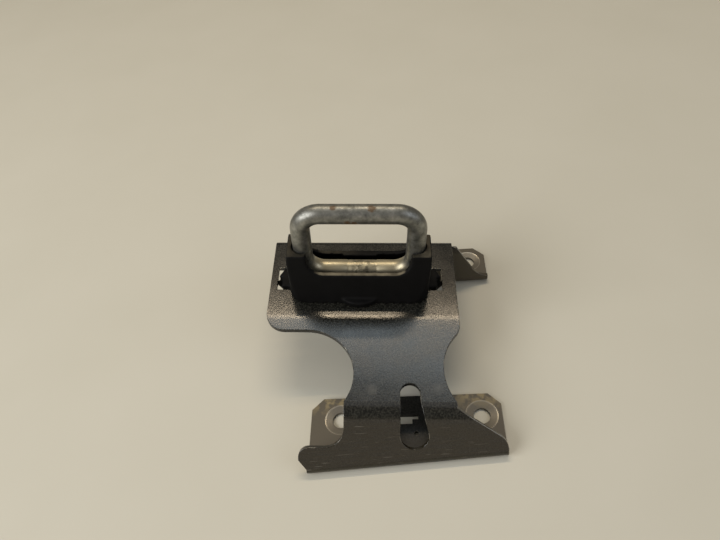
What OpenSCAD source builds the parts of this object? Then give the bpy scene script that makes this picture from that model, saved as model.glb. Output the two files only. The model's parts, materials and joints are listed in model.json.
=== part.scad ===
// Bolt-on hood striker: a folded sheet bracket, a rod loop on its saddle, and a moulded cover round its base.
// Millimetres. The feet stand on z = 0, the origin is midway between the front screw holes, +y is the rear.

/* [Sheet] */
// Thickness of the bracket's sheet
sheet_t = 2; // [1.5:0.1:2.5]
// Inner radius of the folds into the two feet
fold_r = 0.8; // [0.6:0.1:2]

/* [Front foot] */
// Distance between the two front screw holes
hole_spacing = 61.5; // [56:0.5:64]
// Diameter of the front screw holes
front_hole_d = 7.2; // [5:0.1:8]
// Diameter of the coined ring round each front hole
front_ring_d = 14; // [11:0.5:15]
// Depth of the coined rings at the hole's edge
ring_depth = 0.8; // [0.3:0.1:1]
// Reach of the front foot to the left of the origin
foot_left = 44; // [40:0.5:48]
// Reach of the front foot to the right of the origin
foot_right = 39.6; // [38.5:0.1:44]
// Reach of the front foot behind the hole line
foot_back = 10.5; // [9:0.5:16]
// Chamfer of the feet's free corners
foot_chamfer = 5.2; // [2:0.1:7]
// Length of the locating slot in the front foot
notch_l = 16; // [8:0.5:20]
// Width of the locating slot in the front foot
notch_w = 4.2; // [3:0.1:6]
// Right end of the locating slot
notch_right = 3.2; // [1:0.1:6]
// Step in the locating slot's right end
notch_step = 2.6; // [1:0.1:4]
// Place of the locating slot's middle behind the hole line
notch_y = -0.9; // [-2:0.1:0.5]
// Place of the small gauge hole to the right of the origin
gauge_x = 2.2; // [-2:0.1:6]
// Diameter of the small gauge hole in the front foot
gauge_d = 1.8; // [1:0.1:3]
// Place of the small gauge hole behind the hole line
gauge_y = -7.5; // [-9:0.1:-6]

/* [Deck] */
// Height of the deck's top face above the feet, at the bend into the neck
deck_h = 26.2; // [22:0.1:32]
// Sideways slope of the deck against the feet
deck_roll = 5.2; // [0:0.1:8]
// Rise of the deck towards the rear
deck_tilt = 3; // [0:0.1:4]
// Reach of the deck to the left
deck_left = 62.5; // [60:0.5:70]
// Reach of the deck to the right
deck_right = 24; // [23:0.5:30]
// Place of the bend between deck and neck
bend_y = 36.5; // [34:0.5:40]
// Place of the deck's rear corner
rear_y = 83.5; // [80:0.5:86]
// Place of the left lobe's front edge
lobe_y = 29.6; // [28:0.1:32]
// Radius of the left lobe's front corner
lobe_r = 9; // [4:0.5:12]
// Outer radius of the soft bend between deck and neck
deck_bend_r = 60; // [20:1:80]
// Outer radius of the deck's rear bend
rear_bend_r = 3.6; // [2.8:0.1:6]

/* [Neck] */
// Slope of the neck, falling to the front
neck_tilt = 6; // [4:0.1:9]
// Radius of the neck's left hollow
left_hollow_r = 21; // [17:0.5:24]
// Radius of the neck's right hollow
right_hollow_r = 25; // [22:0.5:30]
// Narrowest reach of the neck to the left
neck_left = 22.6; // [20:0.1:26]
// Narrowest reach of the neck to the right
neck_right = 15.6; // [14:0.1:18]
// Place of the right hollow's centre
right_hollow_y = 11; // [9:0.5:13]
// Radius that blends the right hollow into the deck's edge
right_blend_r = 8; // [5:0.5:10]
// Left edge of the slot through the neck and wall
slot_left = 3.1; // [1:0.1:5]
// Width of the slot's upper end
slot_top_w = 8.3; // [6:0.1:10]
// Width of the slot's lower end
slot_low_w = 11.8; // [9:0.1:14]
// Place of the centre of the slot's upper end
slot_y = 0.5; // [-1:0.1:3]
// Distance of the slot's lower end down the wall
slot_drop = 10.8; // [9:0.1:12]

/* [Front wall] */
// Place of the corner between neck and wall
wall_y = -7.6; // [-10:0.1:-5]
// Slope of the front wall
wall_slope = 52.5; // [48:0.5:58]
// Outer radius of the bend between neck and wall
wall_bend_r = 10; // [6:0.1:12]
// Radius of the wall's right shoulder
shoulder_r = 8; // [5:0.5:12]
// Radius of the hollow above the left ear
ear_hollow_r = 8.3; // [6:0.1:11]
// Distance of the ear's upper edge down the wall
ear_drop = 16.3; // [14:0.1:18]
// Radius of the ear's outer corner
ear_r = 4.5; // [2:0.1:5.5]
// Overhang of the ear beyond the foot
ear_reach = 3.3; // [1:0.1:5]
// Straight length of the ear's outer edge
ear_side = 1.4; // [0.5:0.1:3]

/* [Rear leg] */
// Lean of the rear leg from upright
leg_lean = 12; // [6:0.5:14]
// Depth of the flange along the deck's rear edge
flange_d = 9; // [6:0.5:12]
// Left end of the rear foot
leg_left = 14; // [8:0.5:18]
// Right end of the rear foot
leg_right = 42.4; // [40:0.5:46]
// Rear edge of the rear foot
leg_back = 99; // [97:0.5:104]
// Radius of the hollow on each side of the rear leg
leg_hollow_r = 10; // [6:0.5:12]
// Reach of the leg's top beyond the deck's right edge
leg_shoulder = 3; // [1:0.1:5]
// Upright end of the rear leg above its fold
leg_toe = 0.8; // [0.3:0.1:2]
// Place of the rear screw hole to the right of the origin
rear_hole_x = 33.3; // [31:0.1:34]
// Place of the rear screw hole behind the front holes
rear_hole_y = 89.6; // [88:0.1:91]
// Diameter of the rear screw hole
rear_hole_d = 6.8; // [5:0.1:7.5]
// Diameter of the coined ring round the rear hole
rear_ring_d = 13.2; // [10:0.1:14]

/* [Striker] */
// Diameter of the loop's rod
rod_d = 8.5; // [7:0.1:9]
// Distance between the loop's legs, centre to centre
loop_w = 50; // [46:0.5:54]
// Height of the top bar's centre above the deck
loop_top = 43.8; // [40:0.1:50]
// Height of the bottom bar's centre above the deck
loop_low = 7.8; // [7.5:0.1:9]
// Centreline radius of the loop's upper corners
loop_top_r = 9; // [6:0.5:12]
// Centreline radius of the loop's lower corners
loop_low_r = 10; // [8:0.5:11]
// Place of the loop's middle to the right of the origin
loop_x = -20.8; // [-23:0.1:-19]
// Place of the loop's plane along the deck, behind the bend
loop_run = 21.4; // [20:0.1:23]
// Length of the saddle under the bottom bar
saddle_l = 26; // [16:0.5:28]
// Width of the saddle's crown
saddle_w = 10; // [8:0.5:12]
// Thickness of the saddle's sheet
saddle_t = 2; // [1.5:0.1:2.5]
// Reach of the saddle's flanges
saddle_flange = 4; // [3:0.5:5]

/* [Cover] */
// Depth of the cover at its foot
cover_foot_d = 28.6; // [27:0.1:30]
// Height of the cover's two ends
cover_h = 24; // [23:0.1:26]
// Height of the cover's front wall between its ends
cover_front_h = 14.8; // [12:0.1:16]
// Height of the cover's back wall between its ends
cover_back_h = 6.4; // [5:0.1:10]
// Wall of the cover
cover_wall = 2.4; // [1.8:0.1:2.6]
// Radius of the cover's upright corners
cover_corner_r = 8; // [4:0.5:9]
// Distance of the dip's sides inside the legs' centre lines
cover_dip_in = 2; // [1:0.1:3]
// Radius of the dip's lower corners
cover_dip_r = 7; // [4:0.1:8]
// Width of the tab on the back wall's inner edge
cover_tab_w = 16; // [8:0.5:20]
// Reach of that tab towards the loop
cover_tab_d = 1; // [0.6:0.1:2]
// Thickness of that tab
cover_tab_t = 1.2; // [0.8:0.1:2]
// Radius of the lip at the middle of the front foot
lip_r = 12; // [8:0.5:14]
// Reach of that lip beyond the front foot
lip_reach = 2.4; // [1:0.1:3]
// Thickness of that lip
lip_t = 3; // [1:0.1:4]
// Clearance between the cover and the loop
cover_gap = 0.25; // [0.1:0.05:0.5]
// Length of each clip window in the deck
window_l = 12.6; // [11:0.1:15]
// Width of each clip window in the deck
window_w = 6.6; // [5.5:0.1:6.8]
// Reach of the barb past its window's outer edge, under the deck
barb_catch = 1.2; // [0.6:0.1:1.6]
// Clearance round the clips in their windows
clip_gap = 0.5; // [0.3:0.1:0.8]

/* [Hidden] */
$fn = 96;

// Long enough to pass right through the part
through = 300;
// Most that an arc turns between two of its points
arc_step = 4;
// How far a fold's sheet laps up its face
fold_lap = 0.5;
// How far round the rod its welds to the saddle reach
weld_angle = 45;
fold_outer_r = fold_r + sheet_t;
sheet_black = [0.13, 0.13, 0.13];
rod_zinc = [0.62, 0.61, 0.58];
saddle_grey = [0.34, 0.34, 0.34];
cover_black = [0.06, 0.06, 0.06];

// Side profile of the upper sheet in its rolled frame, as the corners of its outer face: [y, z]
deck_run = rear_y - bend_y;
rear_corner = [rear_y, deck_run * tan(deck_tilt)];
bend_corner = [bend_y, 0];
wall_corner = [wall_y, -(bend_y - wall_y) * tan(neck_tilt)];
leg_up = [sin(leg_lean), cos(leg_lean)];
deck_on = unit(bend_corner - rear_corner);
neck_on = unit(wall_corner - bend_corner);
wall_on = [-cos(wall_slope), -sin(wall_slope)];
rear_tangent = rear_bend_r * tan(turn(leg_up, deck_on) / 2);
wall_tangent = wall_bend_r * tan(turn(neck_on, wall_on) / 2);
// Where the bend between neck and wall starts and ends
neck_end = wall_corner - wall_tangent * neck_on;
wall_start = wall_corner + wall_tangent * wall_on;
// How far that bend reaches above its corner, seen square to the wall
wall_bend_rise = wall_bend_r * sin(turn(neck_on, wall_on)) - wall_tangent;

// Outlines of the neck's hollows
left_hollow = [-neck_left - left_hollow_r, lobe_y - left_hollow_r];
right_hollow = [neck_right + right_hollow_r, right_hollow_y];
blend_x = deck_right - right_blend_r;
blend_y = right_hollow_y + sqrt(pow(right_hollow_r + right_blend_r, 2) - pow(right_hollow[0] - blend_x, 2));
blend = [blend_x, blend_y];
throat_left = left_hollow[0] + sqrt(pow(left_hollow_r, 2) - pow(left_hollow[1] - neck_end[0], 2));
throat_right = right_hollow[0] - sqrt(pow(right_hollow_r, 2) - pow(right_hollow[1] - neck_end[0], 2));
slot_right = slot_top_w - slot_left;

// The faces that turn into the feet, as points on their outer side, and their slopes
wall_face = wall_corner;
leg_face = rear_corner + sheet_t * left(leg_up);
leg_slope = 90 - leg_lean;

// The striker stands square to the deck, at the middle of the loop
seat = bend_corner - loop_run * deck_on;
cover_w = loop_w + rod_d + 2 * (cover_gap + cover_wall);
cover_top_d = rod_d + 2 * (cover_gap + cover_wall);
clip_reach = cover_w / 2 + window_w;

function unit(v) = v / norm(v);
function left(v) = [-v[1], v[0]];
function turn(a, b) = atan2(a[0] * b[1] - a[1] * b[0], a * b);
function bearing(v) = atan2(v[1], v[0]);
function reversed(list) = [for (i = [len(list) - 1:-1:0]) list[i]];

// Points along an arc, from one bearing to another
function arc(centre, r, from, to) =
    let (steps = max(4, ceil(abs(to - from) / arc_step)))
    [for (i = [0:steps]) let (a = from + (to - from) * i / steps) centre + r * [cos(a), sin(a)]];

// Where a line from a point touches a circle, on its left (1) or its right (-1) as seen from the point
function tangent_point(point, centre, r, side) =
    let (way = centre - point, reach = norm(way), a = bearing(way) + side * asin(r / reach))
    point + sqrt(reach * reach - r * r) * [cos(a), sin(a)];

// One face of a folded sheet, from the corners of its outer face and their radii
function folded_face(corners, radii, inset) =
    let (last = len(corners) - 1, ways = [for (i = [0:last - 1]) unit(corners[i + 1] - corners[i])])
    concat([corners[0] + inset * left(ways[0])],
        [for (i = [1:last - 1]) let (
            r = radii[i - 1], on = ways[i - 1], angle = turn(on, ways[i]),
            centre = corners[i] - r * tan(angle / 2) * on + r * left(on), from = bearing(on) - 90)
            each arc(centre, r - inset, from, from + angle)],
        [corners[last] + inset * left(ways[last - 1])]);

// A face of this slope through this point meets the feet's plane on a line: its place, angle and fold
function meet_y(face, slope) = face[0] - (face[1] + deck_h * cos(deck_roll)) / tan(slope);
function meet_angle(slope) = atan2(cos(slope) * sin(deck_roll), sin(slope));
function meet_slope(slope) =
    atan2(norm([sin(slope), cos(slope) * sin(deck_roll)]), cos(slope) * cos(deck_roll));
function fold_tangent(slope) = fold_outer_r * tan((180 - meet_slope(slope)) / 2);
// Distance down a face to the line where its fold starts, at a place across the part
function face_lean(slope) = tan(deck_roll) / sin(slope);
function fold_start(face, slope, x) =
    (deck_h / cos(deck_roll) + face[1]) / sin(slope) - x * face_lean(slope)
    - fold_tangent(slope) * norm([1, face_lean(slope)]);
// Where a place across the feet lies on a face, at its fold
function across(face, slope, x) =
    (x - sin(deck_roll) * (face[1] - sin(slope) * fold_start(face, slope, 0)))
    / (cos(deck_roll) + sin(deck_roll) * tan(deck_roll));

// Places the upper sheet's frame over the feet
module upper() {
    translate([0, 0, deck_h]) rotate([0, deck_roll, 0]) children();
}

// Places the striker's frame on the deck, z square to its top face
module on_deck() {
    upper() translate([loop_x, seat[0], seat[1]]) rotate([deck_tilt, 0, 0]) children();
}

// Extrudes a [y, z] profile across the part
module across_part(width) {
    translate([-width / 2, 0, 0]) rotate([90, 0, 90]) linear_extrude(width) children();
}

// Extrudes an outline drawn on a sloped face, x across and y up the face, from above the face to below it
module through_face(face, slope, above, below) {
    translate([0, face[0], face[1]]) rotate([slope, 0, 0])
        translate([0, 0, -below]) linear_extrude(above + below) children();
}

module folded_sheet(corners, radii) {
    across_part(through)
        polygon(concat(folded_face(corners, radii, 0), reversed(folded_face(corners, radii, sheet_t))));
}

// Plan of deck and neck, down to the end of the bend into the wall
module deck_plan() {
    lobe = [lobe_r - deck_left, lobe_y + lobe_r];
    rear = rear_y + sheet_t;
    blend_in = bearing(blend - right_hollow);
    right_out = bearing([throat_right, neck_end[0]] - right_hollow) + 360;
    left_in = bearing([throat_left, neck_end[0]] - left_hollow);
    polygon(concat([[-deck_left, rear], [deck_right, rear]],
        arc(blend, right_blend_r, 0, blend_in - 180),
        arc(right_hollow, right_hollow_r, blend_in, right_out),
        [[throat_right, wall_start[0]], [throat_left, wall_start[0]]],
        arc(left_hollow, left_hollow_r, left_in, 90),
        arc(lobe, lobe_r, 270, 180)));
}

// Outline of the front wall down to its fold, with its right shoulder and its left ear
module wall_outline() {
    right_end = across(wall_face, wall_slope, foot_right);
    left_end = across(wall_face, wall_slope, -foot_left);
    right_low = -fold_start(wall_face, wall_slope, right_end);
    left_low = -fold_start(wall_face, wall_slope, left_end);
    top = wall_bend_rise - sheet_t;
    start = [throat_right, top];
    shoulder = [right_end - shoulder_r, right_low];
    touch = tangent_point(start, shoulder, shoulder_r, 1);
    ear = [left_end - ear_reach + ear_r, -ear_drop - ear_r];
    hollow = [throat_left - ear_hollow_r, ear_hollow_r - ear_drop];
    polygon(concat([[throat_left, top], start],
        arc(shoulder, shoulder_r, bearing(touch - shoulder), 0),
        [[left_end, left_low], [ear[0] - ear_r, ear[1] - ear_side]],
        arc(ear, ear_r, 180, 90),
        arc(hollow, ear_hollow_r, 270, 360)));
}

// Outline of the rear leg down to its fold, hollowed on both sides
module leg_outline() {
    left_end = across(leg_face, leg_slope, leg_left);
    right_end = across(leg_face, leg_slope, leg_right);
    right_low = -fold_start(leg_face, leg_slope, right_end);
    left_low = -fold_start(leg_face, leg_slope, left_end);
    start = [deck_right + leg_shoulder, -rear_tangent];
    right_side = [right_end, right_low + leg_toe + leg_hollow_r];
    left_side = [left_end - leg_hollow_r, -flange_d - leg_hollow_r];
    touch = tangent_point(start, right_side, leg_hollow_r, -1);
    polygon(concat([[left_side[0], -rear_tangent], start],
        arc(right_side, leg_hollow_r, bearing(touch - right_side), -90),
        [[right_end, right_low], [left_end, left_low]],
        arc(left_side, leg_hollow_r, 0, 90)));
}

// Deck, neck, the bend at the neck's front and the flange along the rear
module upper_sheet() {
    intersection() {
        folded_sheet([rear_corner - flange_d * leg_up, rear_corner, bend_corner, wall_corner,
            wall_corner + 2 * wall_tangent * wall_on], [rear_bend_r, deck_bend_r, wall_bend_r]);
        translate([0, 0, -deck_h]) linear_extrude(2 * deck_h) deck_plan();
    }
}

module front_wall() {
    intersection() {
        folded_sheet([wall_corner - 2 * wall_tangent * neck_on, wall_corner,
            wall_corner + 2 * deck_h * wall_on], [wall_bend_r]);
        through_face(wall_face, wall_slope, wall_bend_r, wall_bend_r) wall_outline();
    }
}

module rear_leg() {
    through_face(leg_face, leg_slope, 0, sheet_t) leg_outline();
}

// A foot with the fold that joins it to its face, cut to its ends and its chamfered rear corners
module foot(face, slope, left_end, right_end, back) {
    angle = meet_slope(slope);
    front = meet_y(face, slope);
    intersection() {
        translate([0, front, 0]) rotate([0, 0, meet_angle(slope)])
            folded_sheet([(fold_tangent(slope) + fold_lap) * [cos(angle), sin(angle)], [0, 0],
                [back - front + deck_h, 0]], [fold_outer_r]);
        translate([0, 0, -sheet_t]) linear_extrude(deck_h)
            polygon([[left_end, front - deck_h], [right_end, front - deck_h],
                [right_end, back - foot_chamfer], [right_end - foot_chamfer, back],
                [left_end + foot_chamfer, back], [left_end, back - foot_chamfer]]);
    }
}

// A screw hole with its coined ring
module ringed_hole(hole_d, ring_d) {
    translate([0, 0, -sheet_t]) cylinder(d = hole_d, h = 3 * sheet_t);
    translate([0, 0, sheet_t - ring_depth]) cylinder(d1 = hole_d, d2 = ring_d, h = ring_depth);
    translate([0, 0, sheet_t]) cylinder(d = ring_d, h = sheet_t);
}

module foot_holes() {
    for (side = [-1, 1])
        translate([side * hole_spacing / 2, 0, 0]) ringed_hole(front_hole_d, front_ring_d);
    translate([rear_hole_x, rear_hole_y, 0]) ringed_hole(rear_hole_d, rear_ring_d);
    translate([notch_right, notch_y, -sheet_t]) linear_extrude(3 * sheet_t)
        polygon([[-notch_l, -notch_w / 2], [-notch_step, -notch_w / 2], [-notch_step, 0], [0, 0],
            [0, notch_w / 2], [-notch_l, notch_w / 2]]);
    translate([gauge_x, gauge_y, -sheet_t]) cylinder(d = gauge_d, h = 3 * sheet_t);
}

// The slot across the bend: its upper end goes down through the neck, the rest through the wall
module neck_slot() {
    upper_end = [slot_right - slot_top_w / 2, slot_y];
    lower_end = [slot_low_w / 2 - slot_left, -slot_drop];
    translate([0, 0, -deck_h / 2]) linear_extrude(deck_h)
        polygon(concat(arc(upper_end, slot_top_w / 2, 0, 180),
            [[-slot_left, neck_end[0] - sheet_t], [slot_right, neck_end[0] - sheet_t]]));
    through_face(wall_face, wall_slope, 3 * sheet_t, 3 * sheet_t)
        polygon(concat(arc(lower_end, slot_low_w / 2, 180, 360),
            [[slot_right, wall_bend_rise], [-slot_left, wall_bend_rise]]));
}

module clip_windows() {
    for (side = [-1, 1]) translate([side * (cover_w + window_w) / 2, 0, 0])
        cube([window_w, window_l, 4 * sheet_t], center = true);
}

// The folded bracket, one piece of sheet
module bracket() color(sheet_black) difference() {
    union() {
        upper() upper_sheet();
        upper() front_wall();
        upper() rear_leg();
        foot(wall_face, wall_slope, -foot_left, foot_right, foot_back);
        foot(leg_face, leg_slope, leg_left, leg_right, leg_back);
    }
    foot_holes();
    upper() neck_slot();
    on_deck() clip_windows();
}

// A quarter bend of the rod
module rod_corner(r) {
    rotate([90, 0, 0]) rotate_extrude(angle = 90) translate([r, 0]) circle(d = rod_d);
}

module rod_bar(length) {
    rotate([0, 90, 0]) cylinder(d = rod_d, h = length, center = true);
}

// The closed loop of rod: two bars, two legs and four corners
module striker_loop() color(rod_zinc) on_deck() {
    half = loop_w / 2;
    translate([0, 0, loop_top]) rod_bar(loop_w - 2 * loop_top_r);
    translate([0, 0, loop_low]) rod_bar(loop_w - 2 * loop_low_r);
    for (side = [0, 1]) mirror([side, 0, 0]) {
        translate([half, 0, loop_low + loop_low_r])
            cylinder(d = rod_d, h = loop_top - loop_top_r - loop_low - loop_low_r);
        translate([half - loop_top_r, 0, loop_top - loop_top_r]) rod_corner(loop_top_r);
        translate([half - loop_low_r, 0, loop_low + loop_low_r]) rotate([0, 90, 0]) rod_corner(loop_low_r);
    }
}

// Hat-section saddle under the bottom bar, with a weld along each side of the bar
module striker_saddle() color(saddle_grey) on_deck() {
    crown = loop_low - rod_d / 2;
    weld_bite = rod_d / 2 * [sin(weld_angle), 1 - cos(weld_angle)];
    across_part(saddle_l) difference() {
        union() {
            translate([-saddle_w / 2, 0]) square([saddle_w, crown]);
            translate([-saddle_w / 2 - saddle_flange, 0]) square([saddle_w + 2 * saddle_flange, saddle_t]);
            polygon([[-rod_d / 2, crown - saddle_t / 2], [rod_d / 2, crown - saddle_t / 2],
                [rod_d / 2, crown], [weld_bite[0], crown + weld_bite[1]],
                [-weld_bite[0], crown + weld_bite[1]], [-rod_d / 2, crown]]);
        }
        translate([-saddle_w / 2 + saddle_t, -saddle_t]) square([saddle_w - 2 * saddle_t, crown]);
        translate([0, loop_low]) circle(d = rod_d);
    }
}

// Side view of the cover: straight ends up to its top, leaning front and back
module cover_side(inset) {
    polygon([[-cover_foot_d / 2 + inset, 0], [cover_foot_d / 2 - inset, 0],
        [cover_top_d / 2 - inset, cover_h], [-cover_top_d / 2 + inset, cover_h]]);
}

// Front view of the dip between the cover's ends, down to the wall that is left below it
module cover_dip(low) {
    half = loop_w / 2 - cover_dip_in;
    bottom = low + cover_dip_r;
    polygon(concat([[half, cover_h + cover_wall], [-half, cover_h + cover_wall]],
        arc([-half + cover_dip_r, bottom], cover_dip_r, 180, 270),
        arc([half - cover_dip_r, bottom], cover_dip_r, 270, 360)));
}

module cover_plan(inset) {
    w = cover_w - 2 * inset;
    d = cover_foot_d - 2 * inset;
    r = cover_corner_r - inset;
    square([w - 2 * r, d], center = true);
    square([w, d - 2 * r], center = true);
    for (x = [-1, 1], y = [-1, 1]) translate([x * (w / 2 - r), y * (d / 2 - r)]) circle(r);
}

module cover_body(inset, height) {
    intersection() {
        across_part(through) cover_side(inset);
        linear_extrude(height) cover_plan(inset);
    }
}

// One clip: a tongue down through its window, with an arrow-shaped barb that catches under the deck
module cover_clip() {
    inner = cover_w / 2 - cover_wall;
    outer = clip_reach - clip_gap;
    half = window_l / 2 - clip_gap;
    tongue = half / 2;
    drop = sheet_t + clip_gap;
    translate([0, 0, -drop]) linear_extrude(drop + sheet_t)
        polygon([[cover_w / 2, -half], [outer - sheet_t, -half], [outer - sheet_t, 0], [outer, 0],
            [(cover_w / 2 + outer) / 2, half], [cover_w / 2, tongue]]);
    translate([inner, -tongue, 0]) cube([cover_wall, 2 * tongue, sheet_t]);
    translate([0, 0, -drop - sheet_t]) linear_extrude(sheet_t)
        polygon([[cover_w / 2 + sheet_t, -half], [clip_reach + barb_catch, 0],
            [cover_w / 2 + sheet_t, half]]);
}

// The round lip at the middle of the cover's front foot
module cover_lip() {
    translate([0, lip_r - lip_reach - cover_foot_d / 2, 0]) cylinder(r = lip_r, h = lip_t);
}

// A tab at the top of the back wall's inner side
module cover_tab() {
    lean = (cover_foot_d - cover_top_d) / 2 / cover_h;
    back_in = cover_foot_d / 2 - cover_wall - lean * cover_back_h;
    translate([-cover_tab_w / 2, back_in - cover_tab_d, cover_back_h - cover_tab_t])
        cube([cover_tab_w, cover_tab_d + cover_wall / 2, cover_tab_t]);
}

// The cover round the loop's base, open below and between its two ends, lower at the back than at the front
module striker_cover() color(cover_black) on_deck() {
    difference() {
        union() {
            cover_body(0, cover_h);
            cover_lip();
        }
        translate([0, 0, -cover_gap]) cover_body(cover_wall, loop_low + loop_low_r + 2 * cover_gap);
        rotate([90, 0, 0]) linear_extrude(through) cover_dip(cover_front_h);
        translate([0, through, 0]) rotate([90, 0, 0]) linear_extrude(through) cover_dip(cover_back_h);
        for (side = [-1, 1])
            translate([side * loop_w / 2, 0, 0]) cylinder(d = rod_d + 2 * cover_gap, h = through);
    }
    cover_tab();
    for (side = [0, 1]) mirror([side, 0, 0]) cover_clip();
}

bracket();
striker_saddle();
striker_loop();
striker_cover();
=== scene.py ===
"""Looks of a bolt-on hood striker: a folded black bracket, a rod loop, its saddle and a moulded cover.

Lengths in the classes are millimetres, as on a drawing, and are turned to metres where a mesh is made.
"""

import json
import logging
import math
from dataclasses import dataclass
from enum import Enum
from typing import Any

import bmesh
import bpy
from mathutils import Matrix, Vector
from mathutils.bvhtree import BVHTree

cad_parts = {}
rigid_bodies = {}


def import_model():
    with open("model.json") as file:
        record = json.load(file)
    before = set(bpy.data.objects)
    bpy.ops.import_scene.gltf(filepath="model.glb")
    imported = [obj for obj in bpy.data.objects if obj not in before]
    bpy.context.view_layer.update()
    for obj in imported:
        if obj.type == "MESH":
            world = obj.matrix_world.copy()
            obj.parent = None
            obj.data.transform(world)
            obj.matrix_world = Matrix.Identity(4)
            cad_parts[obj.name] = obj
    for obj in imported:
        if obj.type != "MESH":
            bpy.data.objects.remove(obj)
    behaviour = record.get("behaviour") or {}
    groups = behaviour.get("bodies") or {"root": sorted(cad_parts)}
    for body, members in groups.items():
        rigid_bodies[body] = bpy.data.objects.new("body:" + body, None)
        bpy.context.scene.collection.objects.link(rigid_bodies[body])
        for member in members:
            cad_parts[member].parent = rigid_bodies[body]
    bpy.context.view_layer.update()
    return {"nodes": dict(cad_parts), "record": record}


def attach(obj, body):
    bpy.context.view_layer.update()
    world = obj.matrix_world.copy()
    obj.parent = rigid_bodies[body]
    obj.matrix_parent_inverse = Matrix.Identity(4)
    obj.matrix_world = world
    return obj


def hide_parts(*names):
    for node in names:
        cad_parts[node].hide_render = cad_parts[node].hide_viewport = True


LOG = logging.getLogger("hood_striker")
MM = 0.001
MERGE = 0.001 * MM
SEAM_MERGE = 0.005 * MM
BODY = "root"
WEAR_LAYER = "edge_wear"

Span = tuple[float, float]
Triple = tuple[float, float, float]
Socket = bpy.types.NodeSocket


class Slot(Enum):
    """The record's material slots."""

    BRACKET = "bracket_coating"
    ROD = "rod_zinc"
    SADDLE = "saddle_steel"
    COVER = "cover_plastic"


class Node(Enum):
    """The CAD nodes of the part."""

    BRACKET = "bracket"
    LOOP = "striker_loop"
    SADDLE = "striker_saddle"
    COVER = "striker_cover"


def linear(hex_colour: str) -> tuple[float, float, float, float]:
    """Turns an sRGB hex colour to linear.

    Args:
        hex_colour: A colour such as "#24231f".

    Returns:
        Linear red, green and blue, with an alpha of 1.
    """
    shares = [int(hex_colour[i:i + 2], 16) / 255 for i in (1, 3, 5)]
    parts = [s / 12.92 if s <= 0.04045 else ((s + 0.055) / 1.055) ** 2.4 for s in shares]
    return (*parts, 1.0)


def per_metre(size_mm: float) -> float:
    """Gives a texture's scale on metre coordinates for a feature of this size in millimetres."""
    return 1 / (size_mm * MM)


def fade(ends_mm: Span) -> dict[int, float]:
    """Gives the first two limits of a Map Range node, in metres, for a fade between two places."""
    return {1: ends_mm[0] * MM, 2: ends_mm[1] * MM}


def metres(point_mm: Triple) -> Vector:
    """Turns a point in millimetres to metres."""
    return Vector(point_mm) * MM


def add_node(tree: bpy.types.NodeTree, kind: str, inputs: dict[Any, Any] | None = None,
             **settings: Any) -> bpy.types.Node:
    """Adds a node, with its settings, values and links.

    Args:
        tree: The node tree to add to.
        kind: The node's type name.
        inputs: Input names or numbers, each with a value or with the socket that feeds it.
        **settings: The node's own properties.

    Returns:
        The new node.
    """
    node = tree.nodes.new(kind)
    for name, value in settings.items():
        setattr(node, name, value)
    for key, value in (inputs or {}).items():
        if isinstance(value, Socket):
            tree.links.new(value, node.inputs[key])
        else:
            node.inputs[key].default_value = value
    return node


def start_material(name: str) -> tuple[bpy.types.Material, bpy.types.NodeTree, Socket]:
    """Makes an empty node material.

    Args:
        name: What the material is.

    Returns:
        The material, its node tree, and the Object coordinates that its patterns read.
    """
    material = bpy.data.materials.new(name)
    material.use_nodes = True
    tree = material.node_tree
    tree.nodes.clear()
    return material, tree, add_node(tree, "ShaderNodeTexCoord").outputs["Object"]


def end_material(tree: bpy.types.NodeTree, shader: bpy.types.Node) -> None:
    """Joins a shader to the material's output."""
    add_node(tree, "ShaderNodeOutputMaterial", {"Surface": shader.outputs[0]})


def spot_mask(tree: bpy.types.NodeTree, coords: Socket, centre: Vector, radius_mm: float,
              soft: float) -> Socket:
    """Makes a round mask about a point.

    Args:
        tree: The node tree.
        coords: Coordinates in metres.
        centre: The spot's centre in metres.
        radius_mm: The radius at which the mask is gone.
        soft: The share of the radius over which it fades.

    Returns:
        A socket that is 1 inside the spot and 0 outside.
    """
    reach = add_node(tree, "ShaderNodeVectorMath", {0: coords, 1: centre}, operation="DISTANCE")
    edge = radius_mm * MM
    return add_node(tree, "ShaderNodeMapRange", {0: reach.outputs["Value"], 1: edge, 2: edge * (1 - soft)},
                    interpolation_type="SMOOTHSTEP").outputs[0]


def any_mask(tree: bpy.types.NodeTree, masks: list[Socket]) -> Socket:
    """Joins masks into one that is as strong as the strongest of them."""
    joined = masks[0]
    for mask in masks[1:]:
        joined = add_node(tree, "ShaderNodeMath", {0: joined, 1: mask}, operation="MAXIMUM").outputs[0]
    return joined


@dataclass(frozen=True)
class Hole:
    """A screw hole with its coined ring.

    Attributes:
        x: Place across the part.
        y: Place along the part.
        ring_d: Diameter of the coined ring.
    """

    x: float
    y: float
    ring_d: float


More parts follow.
